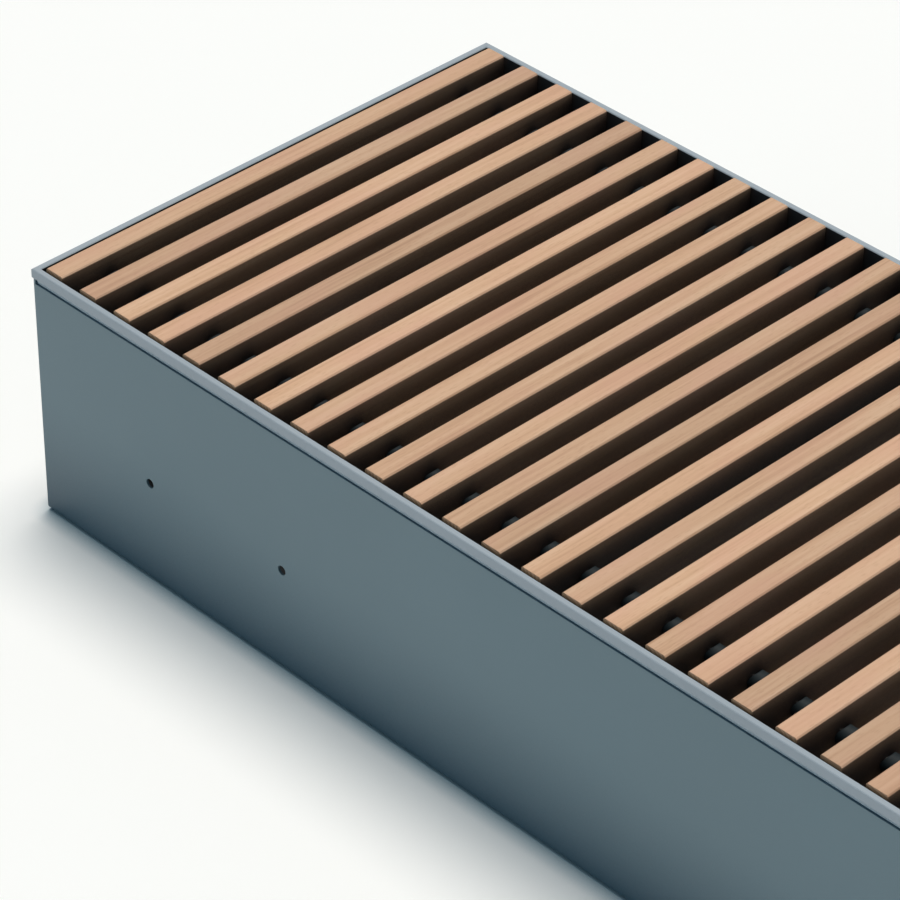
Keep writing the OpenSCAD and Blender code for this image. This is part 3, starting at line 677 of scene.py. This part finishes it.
def add_piece(name, mesh, slot, body, replaced=()):
    """A finished Blender piece with the material of its record slot, on the body that it rides on."""
    piece = bpy.data.objects.new(name, mesh)
    bpy.context.scene.collection.objects.link(piece)
    piece.data.materials.clear()
    piece.data.materials.append(MATERIALS[slot])
    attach(piece, body)
    if replaced:
        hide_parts(*replaced)


# ---- meshes of the detail pieces ----

class Shell:
    """Points and faces of one or more closed shells."""

    def __init__(self):
        self.points = []
        self.faces = []

    def rings(self, rings, loop=False):
        """Joins rings of equal length; a loop closes on its first ring, and other runs get end caps."""
        start, size, count = len(self.points), len(rings[0]), len(rings)
        for ring in rings:
            self.points.extend(ring)
        for i in range(count if loop else count - 1):
            a, b = start + i * size, start + (i + 1) % count * size
            self.faces.extend((a + j, a + (j + 1) % size, b + (j + 1) % size, b + j) for j in range(size))
        if not loop:
            self.faces.append(tuple(range(start + size - 1, start - 1, -1)))
            self.faces.append(tuple(range(start + (count - 1) * size, start + count * size)))

    def quad(self, *corners):
        """One loose face, whose corners are merged with their neighbours later."""
        self.faces.append(tuple(range(len(self.points), len(self.points) + len(corners))))
        self.points.extend(corners)

    def block(self, low, high):
        """Adds a box between its lowest and highest corners."""
        base = ((low[0], low[1]), (high[0], low[1]), (high[0], high[1]), (low[0], high[1]))
        self.rings([[(x, y, z) for x, y in base] for z in (low[2], high[2])])

    def mesh(self, name, smooth=30.0):
        """The shells as a mesh with outward normals, smooth below an edge angle in degrees."""
        mesh = bpy.data.meshes.new(name)
        mesh.from_pydata(self.points, [], self.faces)
        work = bmesh.new()
        work.from_mesh(mesh)
        bmesh.ops.remove_doubles(work, verts=work.verts, dist=MERGE)
        bmesh.ops.recalc_face_normals(work, faces=work.faces)
        work.to_mesh(mesh)
        work.free()
        mesh.shade_smooth()
        mesh.set_sharp_from_angle(angle=math.radians(smooth))
        return mesh


def circle(place, axis, shape, count):
    """Points about an axis through place; shape gives each angle's distance along the axis and radius."""
    points = []
    for i in range(count):
        angle = 2.0 * math.pi * i / count
        along, radius = shape(angle) if callable(shape) else shape
        u, v = radius * math.cos(angle), radius * math.sin(angle)
        offset = (along, u, v) if axis == "X" else (u, v, along)
        points.append(tuple(a + b for a, b in zip(place, offset)))
    return points


def turned(shell, place, axis, profile, count, loop=False):
    """Adds a lathe-turned solid: its profile is (distance along the axis, radius) pairs."""
    shell.rings([circle(place, axis, step, count) for step in profile], loop)


def in_metres(profile, start=0.0):
    """A profile given in millimetres, moved along its axis to start."""
    return [(start + along * MM, radius * MM) for along, radius in profile]


def hexagon_radius(corner, first=0.0):
    """The radius of a hexagon at an angle; first is the angle of one of its corners."""
    flat = corner * math.cos(math.pi / 6)
    return lambda angle: flat / math.cos((angle - first) % (math.pi / 3) - math.pi / 6)


def hexagon_rings(place, axis, low, high, corner, first=0.0):
    """Four rings of a hexagon from low to high whose corners are turned off at both faces."""
    reach = hexagon_radius(corner, first)
    rim = corner * math.cos(math.pi / 6) - HEX_RIM

    def cut(angle):
        return (reach(angle) - rim) * math.tan(math.radians(30.0))

    shapes = (
        (low, rim), lambda angle: (low + cut(angle), reach(angle)),
        lambda angle: (high - cut(angle), reach(angle)), (high, rim),
    )
    return [circle(place, axis, shape, FINE) for shape in shapes]


def thread_rings(place, axis, start, length, radius, depth, pitch, count):
    """Rings of a helical thread between radius and radius + depth, fading out at both ends."""
    total = round(length / pitch * THREAD_STEPS)
    rings = []
    for k in range(total + 1):
        along = length * k / total
        fade = min(1.0, along / pitch, (length - along) / pitch)

        def shape(angle):
            phase = (along / pitch - angle / (2.0 * math.pi)) % 1.0
            return start + along, radius + depth * fade * (1.0 - abs(2.0 * phase - 1.0))

        rings.append(circle(place, axis, shape, count))
    return rings


def fin_mesh(values, tubes):
    """One fin at the origin's X: a thin plate with pressed ripples and four collared holes."""
    low, high = FINS_LOW, FINS_HIGH
    hole = TUBE_RADIUS + 0.1 * MM
    flat = hole + FIN_FLAT_RING
    wave = (high.y - low.y) / values.ripple_count
    ys = {low.y, high.y}
    for centre in {y for y, z in tubes}:
        ys.update(centre + hole * math.cos(math.pi * i / 10) for i in range(11))
        ys.update((centre - flat, centre + flat))
    ys.update(low.y + wave * i / 6 for i in range(6 * values.ripple_count))
    ys = sorted(ys)
    columns = [y for i, y in enumerate(ys) if i == 0 or y - ys[i - 1] > 0.05 * MM]

    def ripple(y):
        near = min(abs(y - centre) for centre, z in tubes)
        fade = max(0.0, min(1.0, (near - flat) / (0.25 * wave)))
        return values.fin_ripple * fade * math.sin(2.0 * math.pi * (y - low.y) / wave)

    def cuts(y, middle):
        """The heights of a column's edges at y, where the tubes' holes interrupt it."""
        heights = [low.z]
        for centre, z in sorted(tubes, key=lambda tube: tube[1]):
            if abs(middle - centre) < hole:
                half = math.sqrt(max(0.0, hole ** 2 - (y - centre) ** 2))
                heights += [z - half, z + half]
        return heights + [high.z]

    shell = Shell()
    for y0, y1 in zip(columns, columns[1:]):
        cuts0, cuts1 = (cuts(y, (y0 + y1) / 2) for y in (y0, y1))
        x0, x1 = ripple(y0), ripple(y1)
        for i in range(0, len(cuts0), 2):
            a, b, c, d = (y0, cuts0[i]), (y1, cuts1[i]), (y1, cuts1[i + 1]), (y0, cuts0[i + 1])
            for side in (0.0, FIN_THICK):
                shell.quad(*((x + side, y, z) for x, (y, z) in zip((x0, x1, x1, x0), (a, b, c, d))))
            for p, q in ((a, b), (d, c)):
                shell.quad((x0, *p), (x1, *q), (x1 + FIN_THICK, *q), (x0 + FIN_THICK, *p))
    for y in (columns[0], columns[-1]):
        x = ripple(y)
        ends = ((x, low.z), (x + FIN_THICK, low.z), (x + FIN_THICK, high.z), (x, high.z))
        shell.quad(*((x, y, z) for x, z in ends))
    inner, outer = TUBE_RADIUS + 0.05 * MM, TUBE_RADIUS + COLLAR_THICK
    start, end = 0.1 * MM, FIN_PITCH - 0.02 * MM
    profile = ((start, inner), (start, outer + 0.8 * MM), (start + MM, outer), (end, outer), (end, inner))
    for y, z in tubes:
        turned(shell, (0.0, y, z), "X", profile, 16, loop=True)
    return shell.mesh("fin")


def screw_mesh(name, node, fixings):
    """A levelling screw: pointed foot, helical thread and a hexagon socket in its top."""
    low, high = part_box(node)
    place = (0.5 * (low.x + high.x), 0.5 * (low.y + high.y), low.z)
    radius, length = 0.5 * (high.x - low.x), high.z - low.z
    pitch = fixings.thread_pitch
    depth = 0.55 * pitch
    reach = hexagon_radius(SCREW_SOCKET_RADIUS)
    shapes = [(length, radius - 1.6 * depth)]
    # mouth, chamfer and floor of the socket
    for sunk, wider in ((0.0, 0.1 * MM), (0.2 * MM, 0.0), (SCREW_SOCKET_DEPTH, 0.0)):
        shapes.append(lambda angle, z=length - sunk, wider=wider: (z, reach(angle) + wider))
    shell = Shell()
    shell.rings([
        circle(place, "Z", (0.0, radius - SCREW_TIP), COARSE),
        *thread_rings(place, "Z", SCREW_TIP, length - 1.6 * SCREW_TIP, radius - depth, depth, pitch, COARSE),
        *(circle(place, "Z", shape, COARSE) for shape in shapes),
    ])
    return shell.mesh(name, 40.0)


def valve_mesh(name, node, fixings):
    """A straight valve: threaded inlet hexagon, turned body and tail, neck with a sunk spindle."""
    low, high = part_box(node)
    start = (low.x, 0.5 * (low.y + high.y), low.z + VALVE_HEX_RADIUS)
    shell = Shell()
    # inlet hexagon with its threaded port
    hexagon = hexagon_rings(start, "X", 0.0, VALVE_HEX_LENGTH, VALVE_HEX_RADIUS, math.pi / 2)
    thread = thread_rings(start, "X", PORT_MOUTH, PORT_DEPTH - PORT_MOUTH, PORT_RADIUS, PORT_THREAD_DEPTH,
                          fixings.port_pitch, FINE)
    mouth = circle(start, "X", (0.0, PORT_RADIUS + 1.0 * MM), FINE)
    shell.rings([*reversed(thread), mouth, *hexagon])
    body = in_metres(VALVE_BODY, VALVE_HEX_LENGTH) + in_metres(VALVE_TAIL, high.x - low.x)
    turned(shell, start, "X", body, FINE)
    # neck with its hexagon collar and the spindle in its recess
    neck = (low.x + VALVE_NECK_X, *start[1:])
    top = high.z - start[2]
    turned(shell, neck, "Z", in_metres(VALVE_NECK) + in_metres(VALVE_NECK_TOP, top), FINE)
    shell.rings(hexagon_rings(neck, "Z", *VALVE_COLLAR))
    reach = hexagon_radius(SPINDLE_RADIUS)
    shell.rings([
        circle(neck, "Z", lambda angle: (top - sunk, reach(angle)), COARSE) for sunk in SPINDLE_ENDS
    ])
    return shell.mesh(name)


# ---- Geometry Nodes for the repeats ----

def finished_repeat(tree, given, result, copies):
    """Moves the copies to their start, makes them real and paints them."""
    moved = put(tree, "GeometryNodeTransform", {"Geometry": copies, "Translation": given["Start"]})
    solid = put(tree, "GeometryNodeRealizeInstances", {"Geometry": moved.outputs[0]})
    painted = put(tree, "GeometryNodeSetMaterial", {
        "Geometry": solid.outputs[0], "Material": given["Material"],
    })
    give(tree, result, Geometry=painted.outputs[0])
    return tree


def lattice_tree():
    """Repeats its geometry in rows along X, Y and Z."""
    sockets = [("Geometry", GEOMETRY, None)]
    for axis in "XYZ":
        sockets += [("Count " + axis, "NodeSocketInt", 1), ("Step " + axis, FLOAT, 0.01)]
    sockets += [("Start", VECTOR, (0.0, 0.0, 0.0)), ("Material", "NodeSocketMaterial", None)]
    tree, given, result = new_tree("Lattice_Of", "GeometryNodeTree", sockets, [("Geometry", GEOMETRY)])
    made = given["Geometry"]
    for axis in "XYZ":
        step = put(tree, "ShaderNodeCombineXYZ", {axis: given["Step " + axis]}).outputs[0]
        line = put(tree, "GeometryNodeMeshLine", {"Count": given["Count " + axis], "Offset": step}).outputs[0]
        made = put(tree, "GeometryNodeInstanceOnPoints", {"Points": line, "Instance": made}).outputs[0]
    return finished_repeat(tree, given, result, made)


def wreath_tree():
    """Repeats its geometry about the Z axis, leaving out the first place."""
    sockets = [("Geometry", GEOMETRY, None), ("Count", "NodeSocketInt", 12),
               ("Start", VECTOR, (0.0, 0.0, 0.0)), ("Material", "NodeSocketMaterial", None)]
    tree, given, result = new_tree("Wreath_Of", "GeometryNodeTree", sockets, [("Geometry", GEOMETRY)])
    still = (0.0, 0.0, 0.0)
    points = put(tree, "GeometryNodeMeshLine", {"Count": given["Count"], "Offset": still}).outputs[0]
    number = put(tree, "GeometryNodeInputIndex").outputs[0]
    angle = maths(tree, "MULTIPLY", maths(tree, "DIVIDE", number, given["Count"]), 2.0 * math.pi)
    turn = put(tree, "ShaderNodeCombineXYZ", {"Z": angle}).outputs[0]
    others = put(tree, "FunctionNodeCompare", {"A": number, "B": 0.0}, data_type="FLOAT",
                 operation="GREATER_THAN").outputs[0]
    copies = put(tree, "GeometryNodeInstanceOnPoints", {
        "Points": points, "Selection": others, "Instance": given["Geometry"], "Rotation": turn,
    })
    return finished_repeat(tree, given, result, copies.outputs[0])


TREE_MAKERS = {"Lattice_Of": lattice_tree, "Wreath_Of": wreath_tree}


def add_repeats(name, unit, tree_name, slot, body, values, replaced=()):
    """A finished piece of one unit repeated by a Geometry Nodes tree, which is built the first time."""
    tree = bpy.data.node_groups.get(tree_name) or TREE_MAKERS[tree_name]()
    holder = bpy.data.objects.new(name, unit)
    bpy.context.scene.collection.objects.link(holder)
    modifier = holder.modifiers.new(name, "NODES")
    modifier.node_group = tree
    sockets = {item.name: item.identifier for item in tree.interface.items_tree if item.in_out == "INPUT"}
    for key, value in {**values, "Material": MATERIALS[slot]}.items():
        modifier[sockets[key]] = value
    holder.update_tag()
    graph = bpy.context.evaluated_depsgraph_get()
    mesh = bpy.data.meshes.new_from_object(holder.evaluated_get(graph), depsgraph=graph)
    bpy.data.objects.remove(holder)
    add_piece(name, mesh, slot, body, replaced)


# ---- operators ----

class TRENCH_OT_casing(bpy.types.Operator):
    """Finish the trough, the end plates, the top frame and the sheet parts inside"""

    bl_idname = "trench.casing"
    bl_label = "Casing and Frame"

    def execute(self, context):
        finish(["trough", "end_plate_left", "end_plate_right", "end_angles", "cross_braces", "air_baffle"])
        finish(["frame_front", "frame_back", "frame_left", "frame_right", "corner_keys", "corner_rivets"])
        finish(["seat_rails", "seat_strips"])
        fixings = settings(context, "fixings")
        weld = Shell()
        radius, step = fixings.weld_radius, fixings.weld_spacing
        dimple = ((-WELD_RISE, radius), (0.4 * WELD_RISE, radius), (WELD_RISE, 0.7 * radius))
        turned(weld, (0.0, 0.0, 0.0), "Z", dimple, ROUGH)
        low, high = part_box("end_angles")
        count = int((high.y - low.y - 4.0 * WELD_INSET) / step) + 1
        add_repeats("floor_spot_welds", weld.mesh("weld"), "Lattice_Of", "casing_paint", "casing", {
            "Count X": 2, "Step X": high.x - low.x - 2.0 * WELD_INSET, "Count Y": count, "Step Y": step,
            "Start": (low.x + WELD_INSET, -0.5 * (count - 1) * step, 2.0 * SHEET),
        })
        # upright tabs that close the ends of the shadow groove, from the walls' top to the lip
        tab = Shell()
        half = 0.5 * SHEET
        tab.block((-half, -half, TROUGH_HIGH.z), (half, half, FRONT_BAR_HIGH.z - LIP_FACE))
        far = TROUGH_HIGH - Vector((half, half, 0.0))
        add_repeats("corner_tabs", tab.mesh("tab"), "Lattice_Of", "casing_paint", "casing", {
            "Count X": 2, "Step X": 2.0 * far.x, "Count Y": 2, "Step Y": 2.0 * far.y,
            "Start": (-far.x, -far.y, 0.0),
        })
        return {"FINISHED"}


class TRENCH_OT_grille(bpy.types.Operator):
    """Finish the slats, spacers, springs and ferrules of the roll-up grille"""

    bl_idname = "trench.grille"
    bl_label = "Grille"

    def execute(self, context):
        finish([name for name in NODES if name.startswith(("panel_", "roll_"))] + ["tension_springs"])
        return {"FINISHED"}


class TRENCH_OT_exchanger(bpy.types.Operator):
    """Finish the fins, tubes, bends, headers and feet of the heat exchanger"""

    bl_idname = "trench.exchanger"
    bl_label = "Heat Exchanger"

    def execute(self, context):
        finish(["heat_fins", "copper_tubes", "return_bends", "end_sheet_left", "end_sheet_right",
                "supply_header", "return_header", "bleed_screw", "foot_pads", "foot_screws"])
        values = settings(context, "exchanger")
        y, high = TUBES_HIGH.y - TUBE_RADIUS, TUBES_HIGH.z - TUBE_RADIUS
        low = TUBES_LOW.z + TUBE_RADIUS
        tubes = [(side, z) for side in (-y, y) for z in (low, high)]
        count = round((FINS_HIGH.x - FINS_LOW.x - FIN_THICK) / FIN_PITCH) + 1
        add_repeats("rippled_fins", fin_mesh(values, tubes), "Lattice_Of", "fin_aluminium", "casing", {
            "Count X": count, "Step X": FIN_PITCH, "Start": (FINS_LOW.x, 0.0, 0.0),
        }, ["heat_fins"])

        fillet = Shell()
        thick = values.braze_radius
        inner = TUBE_RADIUS - 0.1 * MM
        turned(fillet, (0.0, 0.0, 0.0), "X", (
            (-0.1 * MM, inner), (-0.1 * MM, TUBE_RADIUS + thick), (0.35 * thick, TUBE_RADIUS + 0.6 * thick),
            (thick, TUBE_RADIUS + 0.15 * thick), (1.5 * thick, inner),
        ), MEDIUM, loop=True)
        unit = fillet.mesh("braze", 60.0)
        for name, x in (("header_brazing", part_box("supply_header")[1].x), ("bend_brazing", SOCKETS_X)):
            add_repeats(name, unit, "Lattice_Of", "brass", "casing", {
                "Count Y": 2, "Step Y": 2.0 * y, "Count Z": 2, "Step Z": high - low, "Start": (x, -y, low),
            })
        return {"FINISHED"}


class TRENCH_OT_connections(bpy.types.Operator):
    """Finish the valves, nuts, caps and grommets"""

    bl_idname = "trench.connections"
    bl_label = "Pipe Connections"

    def execute(self, context):
        finish(["supply_valve", "return_valve", "union_nuts", "supply_handwheel", "lockshield_cap",
                "pipe_grommets"])
        for node in ("supply_valve", "return_valve"):
            name = node + "_body"
            add_piece(name, valve_mesh(name, node, settings(context, "fixings")), "nickel", "casing", [node])
        low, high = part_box("union_nuts")
        corner = 0.5 * (high.z - low.z)
        nuts = Shell()
        for side in (-1.0, 1.0):
            place = (0.0, side * (high.y - corner * math.cos(math.pi / 6)), 0.5 * (low.z + high.z))
            rings = hexagon_rings(place, "X", low.x, high.x, corner, math.pi / 2)
            bore = PORT_BOSS_RADIUS + 0.05 * MM
            for step in ((high.x, bore + NUT_CHAMFER), (high.x - NUT_CHAMFER, bore),
                         (low.x + NUT_CHAMFER, bore), (low.x, bore + NUT_CHAMFER)):
                rings.append(circle(place, "X", step, FINE))
            nuts.rings(rings, loop=True)
        name = "chamfered_union_nuts"
        add_piece(name, nuts.mesh(name), "nickel", "casing", ["union_nuts"])

        low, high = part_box("supply_handwheel")
        hub = (low.x + 0.5 * (high.y - low.y), 0.5 * (low.y + high.y))
        tick = Shell()
        x0, x1, half, top = TICK
        tick.block((x0, -half, -TICK_SUNK), (x1, half, top))
        add_repeats("handwheel_ticks", tick.mesh("tick"), "Wreath_Of", "white_plastic", "supply_handwheel", {
            "Count": TICK_PLACES, "Start": (*hub, high.z - POINTER_STEP),
        })
        return {"FINISHED"}


class TRENCH_OT_levelling(bpy.types.Operator):
    """Finish the levelling screws and their rivet nuts"""

    bl_idname = "trench.levelling"
    bl_label = "Levelling Screws"

    def execute(self, context):
        screws = sorted(name for name in NODES if name.startswith("level_screw"))
        finish(["rivet_nuts", *screws])
        for node in screws:
            name = node.replace("level_screw", "levelling_thread")
            mesh = screw_mesh(name, node, settings(context, "fixings"))
            add_piece(name, mesh, "bright_steel", node, [node])
        return {"FINISHED"}


class TRENCH_OT_stage(bpy.types.Operator):
    """Set up the floor, the soft light and the camera at the photograph's angle"""

    bl_idname = "trench.stage"
    bl_label = "Stage"

    def execute(self, context):
        stage = settings(context, "stage")
        scene = context.scene
        camera = bpy.data.objects.new("camera", bpy.data.cameras.new("camera"))
        camera.data.lens = stage.lens_mm
        camera.data.sensor_width = 36.0
        camera.data.sensor_fit = "HORIZONTAL"
        camera.data.clip_start = 0.05
        camera.data.clip_end = 50.0
        camera.location = stage.camera_place
        aim = Euler((math.pi / 2 - stage.elevation, 0.0, stage.azimuth)).to_matrix()
        camera.rotation_euler = (aim @ Matrix.Rotation(stage.roll, 3, "Z")).to_euler()
        scene.collection.objects.link(camera)
        scene.camera = camera

        # name, strength, breadth in degrees, tint and the direction that the light comes from
        lamps = (
            ("sun", stage.sun_strength, 34.0, (1.03, 0.965, 0.90), (-0.04, 0.165, 0.985)),
            ("fill", stage.fill_strength, 40.0, (0.94, 1.0, 1.06), (-0.30, -0.90, 0.32)),
        )
        for name, energy, angle, tint, place in lamps:
            lamp = bpy.data.objects.new(name, bpy.data.lights.new(name, "SUN"))
            lamp.data.energy = energy
            lamp.data.color = tint
            lamp.data.angle = math.radians(angle)
            lamp.rotation_euler = Vector(place).to_track_quat("Z", "Y").to_euler()
            scene.collection.objects.link(lamp)

        world = bpy.data.worlds.new("sky")
        scene.world = world
        world.use_nodes = True
        tree = world.node_tree
        back = tree.nodes["Background"]
        back.inputs["Color"].default_value = (0.64, 0.96, 1.18, 1.0)
        back.inputs["Strength"].default_value = stage.sky_strength
        white = put(tree, "ShaderNodeBackground", {"Color": (1.0, 1.0, 1.0, 1.0), "Strength": 1.0})
        path = put(tree, "ShaderNodeLightPath")
        # the camera, glass and gloss see white, and the other rays see the sky
        seen = path.outputs["Is Camera Ray"]
        for kind in ("Is Transmission Ray", "Is Glossy Ray"):
            seen = maths(tree, "MAXIMUM", seen, path.outputs[kind])
        mixed = put(tree, "ShaderNodeMixShader", {0: seen, 1: back.outputs[0], 2: white.outputs[0]})
        tree.links.new(mixed.outputs[0], tree.nodes["World Output"].inputs["Surface"])

        mesh = bpy.data.meshes.new("floor")
        half, drop = 4.0, -0.4 * MM
        corners = [(x * half, y * half, drop) for x, y in ((-1, -1), (1, -1), (1, 1), (-1, 1))]
        mesh.from_pydata(corners, [], [(0, 1, 2, 3)])
        floor = bpy.data.objects.new("floor", mesh)
        scene.collection.objects.link(floor)
        material, tree, shader = blank_material("pale_floor")
        # painted contact shadow: the floor darkens within a few millimetres of the heater
        contact_shadow = use_group(tree, "Crevice", {"Reach": FLOOR_SHADOW_REACH, "Open": 1.0, "Shut": 0.5})
        contact_shadow_colour = [c * keep for c, keep in zip(stage.floor_colour, FLOOR_SHADOW_KEEP)]
        tree.links.new(mix_colour(tree, contact_shadow["Mask"], stage.floor_colour, contact_shadow_colour),
                       shader.inputs["Base Color"])
        shader.inputs["Roughness"].default_value = 0.6
        shader.inputs["Specular IOR Level"].default_value = 0.2
        mesh.materials.append(material)

        scene.view_settings.view_transform = "Standard"
        return {"FINISHED"}


class TRENCH_PT_panel(bpy.types.Panel):
    """Buttons and settings of the trench convector"""

    bl_idname = "TRENCH_PT_panel"
    bl_label = "Trench Convector"
    bl_space_type = "VIEW_3D"
    bl_region_type = "UI"
    bl_category = "Trench Convector"

    def draw(self, context):
        for operator in OPERATORS:
            self.layout.operator(operator.bl_idname)
        for group, kind in SETTINGS.items():
            box = self.layout.box()
            box.label(text=group.capitalize())
            for name in kind.__annotations__:
                box.prop(settings(context, group), name)


OPERATORS = (
    TRENCH_OT_casing,
    TRENCH_OT_grille,
    TRENCH_OT_exchanger,
    TRENCH_OT_connections,
    TRENCH_OT_levelling,
    TRENCH_OT_stage,
)


def register():
    """Registers the settings, operators and panel."""
    for group, kind in SETTINGS.items():
        bpy.utils.register_class(kind)
        setattr(bpy.types.Scene, "trench_" + group, PointerProperty(type=kind))
    for kind in (*OPERATORS, TRENCH_PT_panel):
        bpy.utils.register_class(kind)


def unregister():
    """Takes back what register added."""
    for kind in reversed((*OPERATORS, TRENCH_PT_panel)):
        bpy.utils.unregister_class(kind)
    for group, kind in reversed(SETTINGS.items()):
        delattr(bpy.types.Scene, "trench_" + group)
        bpy.utils.unregister_class(kind)


def main():
    """Builds every piece in order."""
    register()
    MATERIALS.update(make_materials(bpy.context))
    bpy.ops.trench.stage()
    bpy.ops.trench.casing()
    bpy.ops.trench.grille()
    bpy.ops.trench.exchanger()
    bpy.ops.trench.connections()
    bpy.ops.trench.levelling()


if __name__ == "__main__":
    main()
